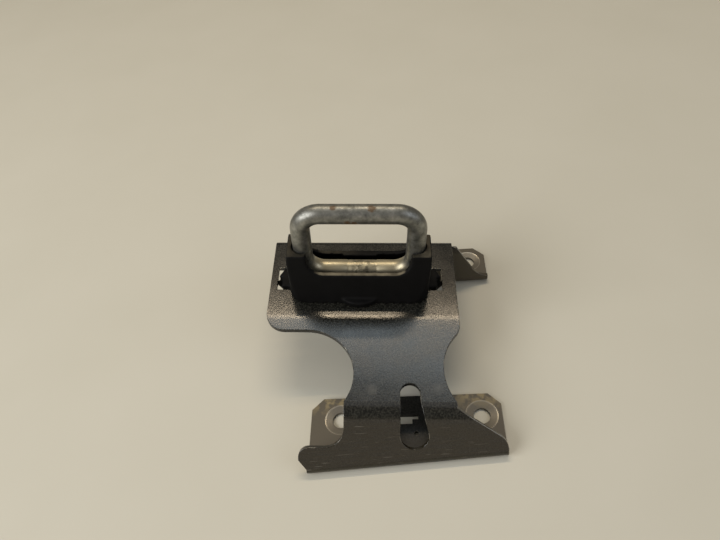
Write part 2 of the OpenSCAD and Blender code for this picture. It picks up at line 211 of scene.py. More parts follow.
@dataclass(frozen=True)
class BlackCoating:
    """Black electro-dipped paint over folded steel sheet.

    The dip leaves a fine orange peel that breaks a highlight into grains. The wall is browner, partly its
    own tone and partly a painted reflection of the room; the feet's ends and the rear leg are a lighter
    brown that is partly painted light, and the front foot's rear has painted gold glints. It is worn to
    steel along the cut edges and in the coined rings. The peel is drawn coarser than the real one, so that
    it shows.

    Attributes:
        grain_mm: Width of the orange peel's grains.
        peel_mm: Depth of the orange peel.
        chip_and_glint_mm: Width of the chipped edges' pattern and of the painted gold glints' patches.
        patch_mm: Width of the patches that differ in gloss.
        rub_length_mm: Length of the rubbed lines on the wall.
        rub_width_mm: Width of those lines.
        gloss: Roughness where the patches are glossy and where they are dull.
        foot_roughness: Roughness of the thinly coated feet.
        foot_z: Heights between which the feet's thin coating sets in.
        brown_x: Distances from the middle between which the feet turn a lighter brown, partly painted light.
        painted_glint_y: Places between which the front foot's painted gold glints set in.
        painted_glint_end_y: Places, from the rear, between which they fade out.
        wall_y: Places between which the wall's brown, partly a painted reflection, its rubbed lines and its
            smoother peel set in.
        leg_y: Places between which the rear leg's painted light sets in.
        leg_z: Heights between which it does so.
        shoulder_x: Places across between which the right shoulder's worn edge sets in.
        shoulder_y: Places along between which it does so.
        ring_z: Height of the coined rings.
        rim: How far the rings' worn rim reaches outside and inside the ring's edge.
    """

    dark: str = "#10100d"
    pale: str = "#32312b"
    wall: str = "#272215"
    foot: str = "#4b4436"
    painted_glint: str = "#8c7d57"
    steel: str = "#9a958a"
    mark: str = "#6a665e"
    grain_mm: float = 0.75
    peel_mm: float = 0.015
    chip_and_glint_mm: float = 3.5
    patch_mm: float = 9.0
    rub_length_mm: float = 16.0
    rub_width_mm: float = 0.6
    gloss: Span = (0.15, 0.21)
    foot_roughness: float = 0.5
    foot_z: Span = (3.2, 2.6)
    brown_x: Span = (14.0, 27.0)
    painted_glint_y: Span = (2.0, 9.0)
    painted_glint_end_y: Span = (40.0, 30.0)
    wall_y: Span = (-8.0, -12.0)
    leg_y: Span = (75.0, 76.0)
    leg_z: Span = (22.0, 18.0)
    shoulder_x: Span = (18.0, 24.0)
    shoulder_y: Span = (6.0, 1.0)
    ring_z: float = 1.6
    rim: Span = (0.3, 0.2)

    def make(self, holes: list[Hole], marks: list[Vector], mark_r: float) -> bpy.types.Material:
        """Makes the coating.

        Args:
            holes: The screw holes whose rings are worn.
            marks: Centres of the pale round press marks, in metres.
            mark_r: Radius of a press mark.

        Returns:
            The material.
        """
        material, tree, coords = start_material("black_dipped_coating")
        place = add_node(tree, "ShaderNodeSeparateXYZ", {0: coords})
        grain = add_node(tree, "ShaderNodeTexNoise",
                         {"Vector": coords, "Scale": per_metre(self.grain_mm), "Detail": 2.0,
                          "Roughness": 0.6})
        patches = add_node(tree, "ShaderNodeTexNoise",
                           {"Vector": coords, "Scale": per_metre(self.patch_mm), "Detail": 4.0})
        grain_step = add_node(tree, "ShaderNodeMapRange", {0: grain.outputs[0], 1: 0.4, 2: 0.68})
        colour = add_node(tree, "ShaderNodeMix", {0: grain_step.outputs[0], 6: linear(self.dark),
                                                  7: linear(self.pale)}, data_type="RGBA").outputs[2]

        # The wall, brown with fine rubbed lines along its width; the brown is partly its own tone, partly a
        # painted reflection of the room
        on_wall = add_node(tree, "ShaderNodeMapRange", {0: place.outputs["Y"], **fade(self.wall_y)},
                           interpolation_type="SMOOTHSTEP").outputs[0]
        across = per_metre(self.rub_width_mm)
        lines_at = add_node(tree, "ShaderNodeMapping",
                            {"Vector": coords, "Scale": (per_metre(self.rub_length_mm), across, across)})
        lines = add_node(tree, "ShaderNodeTexNoise",
                         {"Vector": lines_at.outputs[0], "Scale": 1.0, "Detail": 3.0})
        rubbed = add_node(tree, "ShaderNodeMapRange",
                          {0: lines.outputs[0], 1: 0.32, 2: 0.68, 3: 0.4, 4: 1.0}).outputs[0]
        wall_tone_and_painted_reflection_share = add_node(tree, "ShaderNodeMath", {0: on_wall, 1: rubbed},
                              operation="MULTIPLY").outputs[0]
        colour = add_node(tree, "ShaderNodeMix", {0: wall_tone_and_painted_reflection_share, 6: colour, 7: linear(self.wall)},
                          data_type="RGBA").outputs[2]
        scratched = add_node(tree, "ShaderNodeMapRange",
                             {0: lines.outputs[0], 1: 0.65, 2: 0.73, 4: 0.6}).outputs[0]
        scratch = add_node(tree, "ShaderNodeMath", {0: on_wall, 1: scratched},
                           operation="MULTIPLY").outputs[0]
        colour = add_node(tree, "ShaderNodeMix", {0: scratch, 6: colour, 7: linear(self.mark)},
                          data_type="RGBA").outputs[2]

        # The feet, a lighter brown towards their ends, partly painted light; painted gold glints in patches
        # along the front one's rear
        on_foot = add_node(tree, "ShaderNodeMapRange",
                           {0: place.outputs["Z"], **fade(self.foot_z)}).outputs[0]
        sideways = add_node(tree, "ShaderNodeMath", {0: place.outputs["X"]}, operation="ABSOLUTE").outputs[0]
        outward = add_node(tree, "ShaderNodeMapRange", {0: sideways, **fade(self.brown_x)}).outputs[0]
        foot_end = add_node(tree, "ShaderNodeMath", {0: on_foot, 1: outward},
                            operation="MULTIPLY").outputs[0]
        colour = add_node(tree, "ShaderNodeMix", {0: foot_end, 6: colour, 7: linear(self.foot)},
                          data_type="RGBA").outputs[2]
        chip_and_glint_noise = add_node(tree, "ShaderNodeTexNoise",
                         {"Vector": coords, "Scale": per_metre(self.chip_and_glint_mm), "Detail": 5.0})
        # Painted gold glints: highlights painted in patches along the front foot's rear edge
        painted_glint_share = add_node(tree, "ShaderNodeMapRange",
                                {0: chip_and_glint_noise.outputs[0], 1: 0.44, 2: 0.58, 4: 0.85}).outputs[0]
        behind = add_node(tree, "ShaderNodeMapRange",
                          {0: place.outputs["Y"], **fade(self.painted_glint_y)}).outputs[0]
        front_only = add_node(tree, "ShaderNodeMapRange",
                              {0: place.outputs["Y"], **fade(self.painted_glint_end_y), 3: 0.12}).outputs[0]
        for mask in (behind, front_only, foot_end):
            painted_glint_share = add_node(tree, "ShaderNodeMath", {0: painted_glint_share, 1: mask},
                                    operation="MULTIPLY").outputs[0]
        colour = add_node(tree, "ShaderNodeMix", {0: painted_glint_share, 6: colour, 7: linear(self.painted_glint)},
                          data_type="RGBA").outputs[2]

        # The rear leg, lightened to the feet's brown as painted light for the light it catches
        rearward = add_node(tree, "ShaderNodeMapRange",
                            {0: place.outputs["Y"], **fade(self.leg_y)}).outputs[0]
        below = add_node(tree, "ShaderNodeMapRange",
                         {0: place.outputs["Z"], **fade(self.leg_z), 4: 0.8}).outputs[0]
        leg_painted_light = add_node(tree, "ShaderNodeMath", {0: rearward, 1: below}, operation="MULTIPLY").outputs[0]
        colour = add_node(tree, "ShaderNodeMix", {0: leg_painted_light, 6: colour, 7: linear(self.foot)},
                          data_type="RGBA").outputs[2]

        # Pale round press marks on the neck
        pressed = any_mask(tree, [spot_mask(tree, coords, at, mark_r, 0.9) for at in marks])
        faint = add_node(tree, "ShaderNodeMath", {0: pressed, 1: 0.22}, operation="MULTIPLY").outputs[0]
        colour = add_node(tree, "ShaderNodeMix", {0: faint, 6: colour, 7: linear(self.mark)},
                          data_type="RGBA").outputs[2]

        # Bare steel in the coined rings and along broken edges
        outside, inside = self.rim
        centres = [(metres((hole.x, hole.y, self.ring_z)), hole.ring_d / 2) for hole in holes]
        rings = any_mask(tree, [spot_mask(tree, coords, at, r + outside, 0.06) for at, r in centres])
        inner = any_mask(tree, [spot_mask(tree, coords, at, r - inside, 0.06) for at, r in centres])
        dull = add_node(tree, "ShaderNodeMapRange", {0: inner, 3: 0.7, 4: 0.3}).outputs[0]
        ring_share = add_node(tree, "ShaderNodeMath", {0: rings, 1: dull}, operation="MULTIPLY").outputs[0]
        edge = add_node(tree, "ShaderNodeAttribute", attribute_name=WEAR_LAYER)
        chipped = add_node(tree, "ShaderNodeMapRange", {0: chip_and_glint_noise.outputs[0], 1: 0.52, 2: 0.66}).outputs[0]
        right = add_node(tree, "ShaderNodeMapRange",
                         {0: place.outputs["X"], **fade(self.shoulder_x)}).outputs[0]
        ahead = add_node(tree, "ShaderNodeMapRange",
                         {0: place.outputs["Y"], **fade(self.shoulder_y), 4: 0.75}).outputs[0]
        shoulder = add_node(tree, "ShaderNodeMath", {0: right, 1: ahead}, operation="MULTIPLY").outputs[0]
        rubbed_edge = any_mask(tree, [chipped, shoulder])
        edge_share = add_node(tree, "ShaderNodeMath", {0: edge.outputs["Fac"], 1: rubbed_edge},
                              operation="MULTIPLY").outputs[0]
        bare = any_mask(tree, [ring_share, edge_share])
        colour = add_node(tree, "ShaderNodeMix", {0: bare, 6: colour, 7: linear(self.steel)},
                          data_type="RGBA").outputs[2]

        gloss = add_node(tree, "ShaderNodeMapRange", {0: patches.outputs[0], 1: 0.3, 2: 0.7,
                                                      3: self.gloss[0], 4: self.gloss[1]}).outputs[0]
        pitted = add_node(tree, "ShaderNodeMath", {0: on_foot, 1: ring_share}, operation="SUBTRACT",
                          use_clamp=True)
        gloss = add_node(tree, "ShaderNodeMix",
                         {0: pitted.outputs[0], 2: gloss, 3: self.foot_roughness}).outputs[0]
        peel = add_node(tree, "ShaderNodeMapRange", {0: on_wall, 3: 0.75, 4: 0.2}).outputs[0]
        bump = add_node(tree, "ShaderNodeBump", {"Strength": peel, "Distance": self.peel_mm * MM,
                                                 "Height": grain.outputs[0]})
        shader = add_node(tree, "ShaderNodeBsdfPrincipled",
                          {"Base Color": colour, "Roughness": gloss, "Metallic": bare,
                           "Normal": bump.outputs[0]})
        end_material(tree, shader)
        return material


@dataclass(frozen=True)
class WornZinc:
    """Zinc-plated steel rod, dulled by handling.

    The plating is soft grey with a broken sheen, still yellow on the sheltered bottom bar, and has small
    brown rust spots where the latch has rubbed through it.

    Attributes:
        blotch_mm: Width of the dull and bright blotches.
        pit_mm: Width of the fine pits.
        pit_depth_mm: Depth of the pits.
        lump_mm: Width of the weld's lumps.
        lump_height_mm: Height of the lumps.
        ragged_mm: Width of the bays along a rust spot's edge.
    """

    dull: str = "#5d5d57"
    bright: str = "#9c9b93"
    yellow: str = "#b3a98e"
    scale: str = "#6e6859"
    rust: str = "#523a18"
    blotch_mm: float = 3.2
    pit_mm: float = 0.5
    pit_depth_mm: float = 0.06
    lump_mm: float = 2.4
    lump_height_mm: float = 0.42
    ragged_mm: float = 1.1

    def make(self, rust_spots: list[tuple[Vector, float]], low: Vector, up: Vector,
             low_reach: float, weld: Vector, weld_reach: float) -> bpy.types.Material:
        """Makes the plating.

        Args:
            rust_spots: Centre in metres and radius in millimetres of each rust spot.
            low: A point on the bottom bar's centre line, in metres.
            up: The loop's upward direction.
            low_reach: How far above that point the yellow plating fades out.
            weld: Centre of the butt weld, in metres.
            weld_reach: How far the weld's lumps and scale reach from there.

        Returns:
            The material.
        """
        material, tree, coords = start_material("worn_zinc_plating")
        blotches = add_node(tree, "ShaderNodeTexNoise",
                            {"Vector": coords, "Scale": per_metre(self.blotch_mm), "Detail": 5.0,
                             "Roughness": 0.6})
        tone = add_node(tree, "ShaderNodeMapRange", {0: blotches.outputs[0], 1: 0.3, 2: 0.7}).outputs[0]
        colour = add_node(tree, "ShaderNodeMix", {0: tone, 6: linear(self.dull), 7: linear(self.bright)},
                          data_type="RGBA").outputs[2]

        # Yellow plating on the bottom bar
        from_low = add_node(tree, "ShaderNodeVectorMath", {0: coords, 1: low},
                            operation="SUBTRACT").outputs[0]
        height = add_node(tree, "ShaderNodeVectorMath", {0: from_low, 1: up}, operation="DOT_PRODUCT")
        sheltered = add_node(tree, "ShaderNodeMapRange",
                             {0: height.outputs["Value"], **fade((2 * low_reach, low_reach))},
                             interpolation_type="SMOOTHSTEP").outputs[0]
        colour = add_node(tree, "ShaderNodeMix", {0: sheltered, 6: colour, 7: linear(self.yellow)},
                          data_type="RGBA").outputs[2]

        # Grey scale on the lumps of the butt weld
        on_weld = spot_mask(tree, coords, weld, weld_reach, 0.25)
        lumps = add_node(tree, "ShaderNodeTexNoise",
                         {"Vector": coords, "Scale": per_metre(self.lump_mm), "Detail": 3.0})
        patchy = add_node(tree, "ShaderNodeMapRange",
                          {0: lumps.outputs[0], 1: 0.42, 2: 0.6, 4: 0.85}).outputs[0]
        scaled = add_node(tree, "ShaderNodeMath", {0: on_weld, 1: patchy}, operation="MULTIPLY").outputs[0]
        colour = add_node(tree, "ShaderNodeMix", {0: scaled, 6: colour, 7: linear(self.scale)},
                          data_type="RGBA").outputs[2]

        # Rust spots with ragged edges
        spots = any_mask(tree, [spot_mask(tree, coords, at, r, 0.8) for at, r in rust_spots])
        ragged = add_node(tree, "ShaderNodeTexNoise",
                          {"Vector": coords, "Scale": per_metre(self.ragged_mm), "Detail": 4.0})
        eaten = add_node(tree, "ShaderNodeMath", {0: spots, 1: ragged.outputs[0]},
                         operation="MULTIPLY").outputs[0]
        rusted = add_node(tree, "ShaderNodeMapRange", {0: eaten, 1: 0.14, 2: 0.42, 4: 0.9}).outputs[0]
        colour = add_node(tree, "ShaderNodeMix", {0: rusted, 6: colour, 7: linear(self.rust)},
                          data_type="RGBA").outputs[2]

        metal = add_node(tree, "ShaderNodeMapRange", {0: rusted, 3: 0.88, 4: 0.1}).outputs[0]
        gloss = add_node(tree, "ShaderNodeMapRange",
                         {0: blotches.outputs[0], 1: 0.3, 2: 0.7, 3: 0.5, 4: 0.36}).outputs[0]
        pits = add_node(tree, "ShaderNodeTexNoise",
                        {"Vector": coords, "Scale": per_metre(self.pit_mm), "Detail": 2.0})
        pitted = add_node(tree, "ShaderNodeBump", {"Strength": 0.25, "Distance": self.pit_depth_mm * MM,
                                                   "Height": pits.outputs[0]})
        bump = add_node(tree, "ShaderNodeBump", {"Strength": on_weld, "Distance": self.lump_height_mm * MM,
                                                 "Height": lumps.outputs[0], "Normal": pitted.outputs[0]})
        shader = add_node(tree, "ShaderNodeBsdfPrincipled",
                          {"Base Color": colour, "Roughness": gloss, "Metallic": metal,
                           "Normal": bump.outputs[0]})
        end_material(tree, shader)
        return material


@dataclass(frozen=True)
class MouldedCover:
    """Black moulded nylon with a spark-eroded matt skin.

    It is near black and soft in the light, and road dust lies on the faces that look up.

    Attributes:
        skin_mm: Width of the skin's grains.
        skin_depth_mm: Depth of the skin's grains.
        dust_mm: Width of the dust's clouds.
        dust_z: Heights between which dust sets in, above the lip over the clip barbs.
        clean_z: Heights, from the top, between which the posts' clean tops give way to dust.
        specular: Specular level of the matt skin.
    """

    black: str = "#080808"
    worn: str = "#100f0e"
    dust: str = "#958b74"
    skin_mm: float = 0.5
    skin_depth_mm: float = 0.06
    dust_mm: float = 4.0
    dust_z: Span = (36.0, 41.0)
    clean_z: Span = (51.0, 48.0)
    specular: float = 0.1

    def make(self) -> bpy.types.Material:
        """Makes the moulding's finish."""
        material, tree, coords = start_material("matt_moulded_nylon")
        skin = add_node(tree, "ShaderNodeTexNoise",
                        {"Vector": coords, "Scale": per_metre(self.skin_mm), "Detail": 2.0})
        clouds = add_node(tree, "ShaderNodeTexNoise",
                          {"Vector": coords, "Scale": per_metre(self.dust_mm), "Detail": 4.0})
        colour = add_node(tree, "ShaderNodeMix", {0: clouds.outputs[0], 6: linear(self.black),
                                                  7: linear(self.worn)}, data_type="RGBA").outputs[2]
        surface = add_node(tree, "ShaderNodeNewGeometry")
        facing = add_node(tree, "ShaderNodeSeparateXYZ", {0: surface.outputs["Normal"]})
        upward = add_node(tree, "ShaderNodeMapRange", {0: facing.outputs["Z"], 1: 0.75, 2: 0.98},
                          interpolation_type="SMOOTHSTEP").outputs[0]
        dusty = add_node(tree, "ShaderNodeMapRange",
                         {0: clouds.outputs[0], 1: 0.3, 2: 0.7, 3: 0.25, 4: 0.7}).outputs[0]
        place = add_node(tree, "ShaderNodeSeparateXYZ", {0: coords})
        over_lip = add_node(tree, "ShaderNodeMapRange",
                            {0: place.outputs["Z"], **fade(self.dust_z)}).outputs[0]
        under_posts = add_node(tree, "ShaderNodeMapRange",
                               {0: place.outputs["Z"], **fade(self.clean_z), 3: 0.2}).outputs[0]
        for mask in (over_lip, under_posts, upward):
            dusty = add_node(tree, "ShaderNodeMath", {0: dusty, 1: mask}, operation="MULTIPLY").outputs[0]
        colour = add_node(tree, "ShaderNodeMix", {0: dusty, 6: colour, 7: linear(self.dust)},
                          data_type="RGBA").outputs[2]
        gloss = add_node(tree, "ShaderNodeMapRange",
                         {0: clouds.outputs[0], 1: 0.3, 2: 0.7, 3: 0.5, 4: 0.66}).outputs[0]
        bump = add_node(tree, "ShaderNodeBump", {"Strength": 0.3, "Distance": self.skin_depth_mm * MM,
                                                 "Height": skin.outputs[0]})
        shader = add_node(tree, "ShaderNodeBsdfPrincipled",
                          {"Base Color": colour, "Roughness": gloss, "Specular IOR Level": self.specular,
                           "Normal": bump.outputs[0]})
        end_material(tree, shader)
        return material


@dataclass(frozen=True)
class CoatedSteel:
    """Pressed steel under the same black dip as the bracket, grainy and half dull."""

    dark: str = "#1c1b1a"
    pale: str = "#33312d"
    grain_mm: float = 0.7
    grain_depth_mm: float = 0.1

    def make(self) -> bpy.types.Material:
        """Makes the saddle's finish."""
        material, tree, coords = start_material("black_dipped_steel")
        grain = add_node(tree, "ShaderNodeTexNoise",
                         {"Vector": coords, "Scale": per_metre(self.grain_mm), "Detail": 2.0})
        colour = add_node(tree, "ShaderNodeMix", {0: grain.outputs[0], 6: linear(self.dark),
                                                  7: linear(self.pale)}, data_type="RGBA").outputs[2]
        gloss = add_node(tree, "ShaderNodeMapRange",
                         {0: grain.outputs[0], 1: 0.3, 2: 0.7, 3: 0.4, 4: 0.55}).outputs[0]
        bump = add_node(tree, "ShaderNodeBump", {"Strength": 0.4, "Distance": self.grain_depth_mm * MM,
                                                 "Height": grain.outputs[0]})
        shader = add_node(tree, "ShaderNodeBsdfPrincipled",
                          {"Base Color": colour, "Roughness": gloss, "Normal": bump.outputs[0]})
        end_material(tree, shader)
        return material


@dataclass(frozen=True)
class TableTop:
    """Pale painted board, matt, with the faintest cloudiness."""

    pale: str = "#c7c3b4"
    deep: str = "#c1bdad"
    cloud_mm: float = 60.0

    def make(self) -> bpy.types.Material:
        """Makes the floor's finish."""
        material, tree, coords = start_material("pale_painted_board")
        clouds = add_node(tree, "ShaderNodeTexNoise",
                          {"Vector": coords, "Scale": per_metre(self.cloud_mm), "Detail": 3.0})
        colour = add_node(tree, "ShaderNodeMix", {0: clouds.outputs[0], 6: linear(self.deep),
                                                  7: linear(self.pale)}, data_type="RGBA").outputs[2]
        shader = add_node(tree, "ShaderNodeBsdfPrincipled", {"Base Color": colour, "Roughness": 0.55})
        end_material(tree, shader)
        return material


@dataclass(frozen=True)
class SoftLamp:
    """A soft rectangular lamp that looks at the part.

    Attributes:
        name: What the lamp is.
        bearing: Direction from the part, in degrees from the rear towards the right.
        elevation: Height above the floor, in degrees.
        distance: Distance from the part, in metres.
        width: Width of its face, in metres.
        depth: Depth of its face, in metres.
        watts: Its power.
        colour: Colour of its light.
    """

    name: str
    bearing: float
    elevation: float
    distance: float
    width: float
    depth: float
    watts: float
    colour: str

    def place(self, target: Vector) -> None:
        """Hangs the lamp so that it faces the target."""
        data = bpy.data.lights.new(self.name, "AREA")
        data.shape = "RECTANGLE"
        data.size = self.width
        data.size_y = self.depth
        data.energy = self.watts
        data.color = linear(self.colour)[:3]
        lamp = bpy.data.objects.new(self.name, data)
        bpy.context.scene.collection.objects.link(lamp)
        turn, rise = math.radians(self.bearing), math.radians(self.elevation)
        way = Vector((math.sin(turn) * math.cos(rise), math.cos(turn) * math.cos(rise), math.sin(rise)))
        lamp.location = target + way * self.distance
        lamp.rotation_mode = "QUATERNION"
        lamp.rotation_quaternion = (-way).to_track_quat("-Z", "Y")


@dataclass
class Studio:
    """Floor, light and camera.

    Attributes:
        lens: Focal length on a sensor 36 mm wide.
        eye: The camera's place.
        right: The picture's right in the part's frame.
        up: The picture's up in the part's frame.
        floor_size: Half the floor's width, in metres.
        floor_drop: Depth of the floor below the feet.
        sky: Colour of the light from all round.
        sky_strength: Strength of that light.
        target: The point that the lamps face.
        lamps: The soft lamps.
    """

    lens: float = 29.8
    eye: Triple = (5.4, -124.8, 240.4)
    right: Triple = (0.9943, 0.0189, -0.1056)
    up: Triple = (0.0559, 0.7487, 0.6606)
    floor_size: float = 2.0
    floor_drop: float = 0.05
    sky: str = "#e6e0d4"
    sky_strength: float = 0.25
    target: Triple = (-12.0, 40.0, 20.0)
    lamps: tuple[SoftLamp, ...] = (
        SoftLamp("warm_ceiling_strip", -2, 61.8, 1.5, 1.1, 0.045, 6.5, "#ffe8c6"),
        SoftLamp("cool_overhead_box", 6, 67.8, 1.2, 0.8, 0.16, 1.3, "#dceaf2"),
        SoftLamp("dim_ceiling", 6, 88, 1.2, 0.8, 0.5, 0.7, "#f0f0f0"),
        SoftLamp("warm_front_fill", 180, 12, 1.3, 1.2, 0.4, 0.8, "#ffeeda"),
        SoftLamp("left_window", -118, 34, 1.2, 0.9, 0.6, 11.0, "#fdfdff"),
        SoftLamp("right_window", 112, 34, 1.2, 0.8, 0.6, 2.6, "#e4edff"),
    )

    def build(self) -> None:
        """Makes the floor, the lamps, the sky and the camera."""
        self._floor()
        for lamp in self.lamps:
            lamp.place(metres(self.target))
        self._sky()
        self._camera()

    def _floor(self) -> None:
        """Lays the floor just under the feet."""
        bm = bmesh.new()
        bmesh.ops.create_grid(bm, x_segments=1, y_segments=1, size=self.floor_size,
                              matrix=Matrix.Translation((0, 0, -self.floor_drop * MM)))
        floor = mesh_object(bm, "floor")
        floor.data.materials.append(TableTop().make())

    def _sky(self) -> None:
        """Sets the even light from all round."""
        world = bpy.data.worlds.new("soft_room")
        world.use_nodes = True
        background = world.node_tree.nodes["Background"]
        background.inputs["Color"].default_value = linear(self.sky)
        background.inputs["Strength"].default_value = self.sky_strength
        bpy.context.scene.world = world

    def _camera(self) -> None:
        """Puts the camera where the photograph was taken from."""
        data = bpy.data.cameras.new("camera")
        data.lens = self.lens
        data.sensor_fit = "HORIZONTAL"
        data.clip_start = 0.01
        camera = bpy.data.objects.new("camera", data)
        bpy.context.scene.collection.objects.link(camera)
        right, up = Vector(self.right).normalized(), Vector(self.up).normalized()
        turned = Matrix((right, up, right.cross(up))).transposed().to_4x4()
        camera.matrix_world = Matrix.Translation(metres(self.eye)) @ turned
        bpy.context.scene.camera = camera


def mesh_object(bm: bmesh.types.BMesh, name: str) -> bpy.types.Object:
    """Turns a bmesh into an object at the origin.

    Args:
        bm: The bmesh, which is freed.
        name: The object's name.

    Returns:
        The object, linked to the scene.
    """
    mesh = bpy.data.meshes.new(name)
    bm.to_mesh(mesh)
    bm.free()
    piece = bpy.data.objects.new(name, mesh)
    bpy.context.scene.collection.objects.link(piece)
    return piece


@dataclass(frozen=True)
class EdgeBreak:
    """How a copy of a CAD piece has its sharp edges broken.

    Attributes:
        width: Width of the broken edge.
        sharp_from: Angle from which an edge is broken.
        sharp_to: Angle up to which an edge is broken.
        crease_from: Angle from which an unbroken edge stays crisp.
        segments: Facets across a broken edge.
        flat: Largest angle between triangles that are one face.
        stray: Share of the width beyond which a point that has left the CAD surface goes back to it.
    """

    width: float
    sharp_from: float = 40.0
    sharp_to: float = 150.0
    crease_from: float = 11.0
    segments: int = 3
    flat: float = 0.3
    stray: float = 0.6

    def copy(self, node: bpy.types.Object, name: str) -> bpy.types.Object:
        """Copies a CAD piece with its edges broken.

        Args:
            node: The CAD node's object.
            name: The copy's name.

        Returns:
            The copy, with the broken edges' faces marked in the wear layer.
        """
        bm = bmesh.new()
        bm.from_mesh(node.data)
        bmesh.ops.remove_doubles(bm, verts=bm.verts, dist=MERGE)
        cad_surface = BVHTree.FromBMesh(bm)
        bmesh.ops.dissolve_limit(bm, angle_limit=math.radians(self.flat), verts=bm.verts, edges=bm.edges)
        broken = []
        for edge in bm.edges:
            angle = math.degrees(edge.calc_face_angle(0.0))
            if self.sharp_from < angle < self.sharp_to:
                broken.append(edge)
            elif angle > self.crease_from:
                edge.smooth = False
        wear = bm.faces.layers.float.new(WEAR_LAYER)
        made = bmesh.ops.bevel(bm, geom=broken, offset=self.width * MM, offset_type="OFFSET", affect="EDGES",
                               segments=self.segments, profile=0.5, material=-1, clamp_overlap=False)
        for face in made["faces"]:
            face[wear] = 1.0
        for vert in bm.verts:
            nearest, _, _, gap = cad_surface.find_nearest(vert.co)
            if gap > self.stray * self.width * MM:
                vert.co = nearest
        bmesh.ops.dissolve_degenerate(bm, dist=MERGE, edges=bm.edges)
        for face in bm.faces:
            face.smooth = True
        piece = mesh_object(bm, name)
        weighted = piece.modifiers.new("even_shading", "WEIGHTED_NORMAL")
        weighted.keep_sharp = True
        return piece


@dataclass(frozen=True)
class DeckFrame:
    """The frame that the loop stands in: x along its bars, z square to the deck.

    Attributes:
        bar: Centre of the top bar, in metres.
        roll: Sideways slope of the deck.
        tilt: Rise of the deck towards the rear.
    """

    bar: Vector
    roll: float
    tilt: float = 3.0

    @classmethod
    def from_record(cls, record: dict[str, Any]) -> "DeckFrame":
        """Reads the frame from the record's mount on the top bar."""
        mount = next(m for m in record["mounts"] if m["name"] == "striker_bar")
        along = Vector(mount["axis"])
        return cls(Vector(mount["pos_m"]), math.degrees(math.atan2(-along.z, along.x)))

    def matrix(self) -> Matrix:
        """Gives the matrix from this frame to the part's."""
        rolled = Matrix.Rotation(math.radians(self.roll), 4, "Y")
        tilted = Matrix.Rotation(math.radians(self.tilt), 4, "X")
        return Matrix.Translation(self.bar) @ (rolled @ tilted)


@dataclass
class StrikerBracket:
    """The folded sheet bracket.

    Attributes:
        edge: How its cut edges are broken.
        front_ring_d: Diameter of the front holes' coined rings.
        rear_ring_d: Diameter of the rear hole's coined ring.
        press_marks: Places of the round press marks on the neck.
        press_mark_r: Their radius.
    """

    edge: EdgeBreak = EdgeBreak(0.22)
    front_ring_d: float = 14.0
    rear_ring_d: float = 13.2
    press_marks: tuple[Triple, ...] = ((-15.1, 1.7, 23.9), (12.5, 2.5, 21.5))
    press_mark_r: float = 3.4

    def build(self, node: bpy.types.Object) -> bpy.types.Object:
        """Makes the bracket with broken edges, in place of its CAD node."""
        piece = self.edge.copy(node, "folded_bracket")
        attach(piece, BODY)
        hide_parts(Node.BRACKET.value)
        return piece

    def holes(self, record: dict[str, Any]) -> list[Hole]:
        """Finds the screw holes from the record's mounts.

        Args:
            record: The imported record.

        Returns:
            The two front holes and the rear hole.
        """
        mounts = {m["name"]: m for m in record["mounts"]}
        half = mounts["front_screws"]["dims"]["spacing_x_mm"] / 2
        rear = Vector(mounts["rear_screw"]["pos_m"]) / MM
        return [Hole(-half, 0, self.front_ring_d), Hole(half, 0, self.front_ring_d),
                Hole(rear.x, rear.y, self.rear_ring_d)]

    def dress(self, piece: bpy.types.Object, record: dict[str, Any]) -> None:
        """Gives the bracket its coating."""
        marks = [metres(at) for at in self.press_marks]
        coating = BlackCoating().make(self.holes(record), marks, self.press_mark_r)
        piece.data.materials.clear()
        piece.data.materials.append(coating)


@dataclass(frozen=True)
class RustSpot:
    """A rust spot on the top bar.

    Attributes:
        x: Place along the bar.
        turn: Place round the bar, in degrees up from its front.
        radius: Radius of the spot.
    """

    x: float
    turn: float
    radius: float


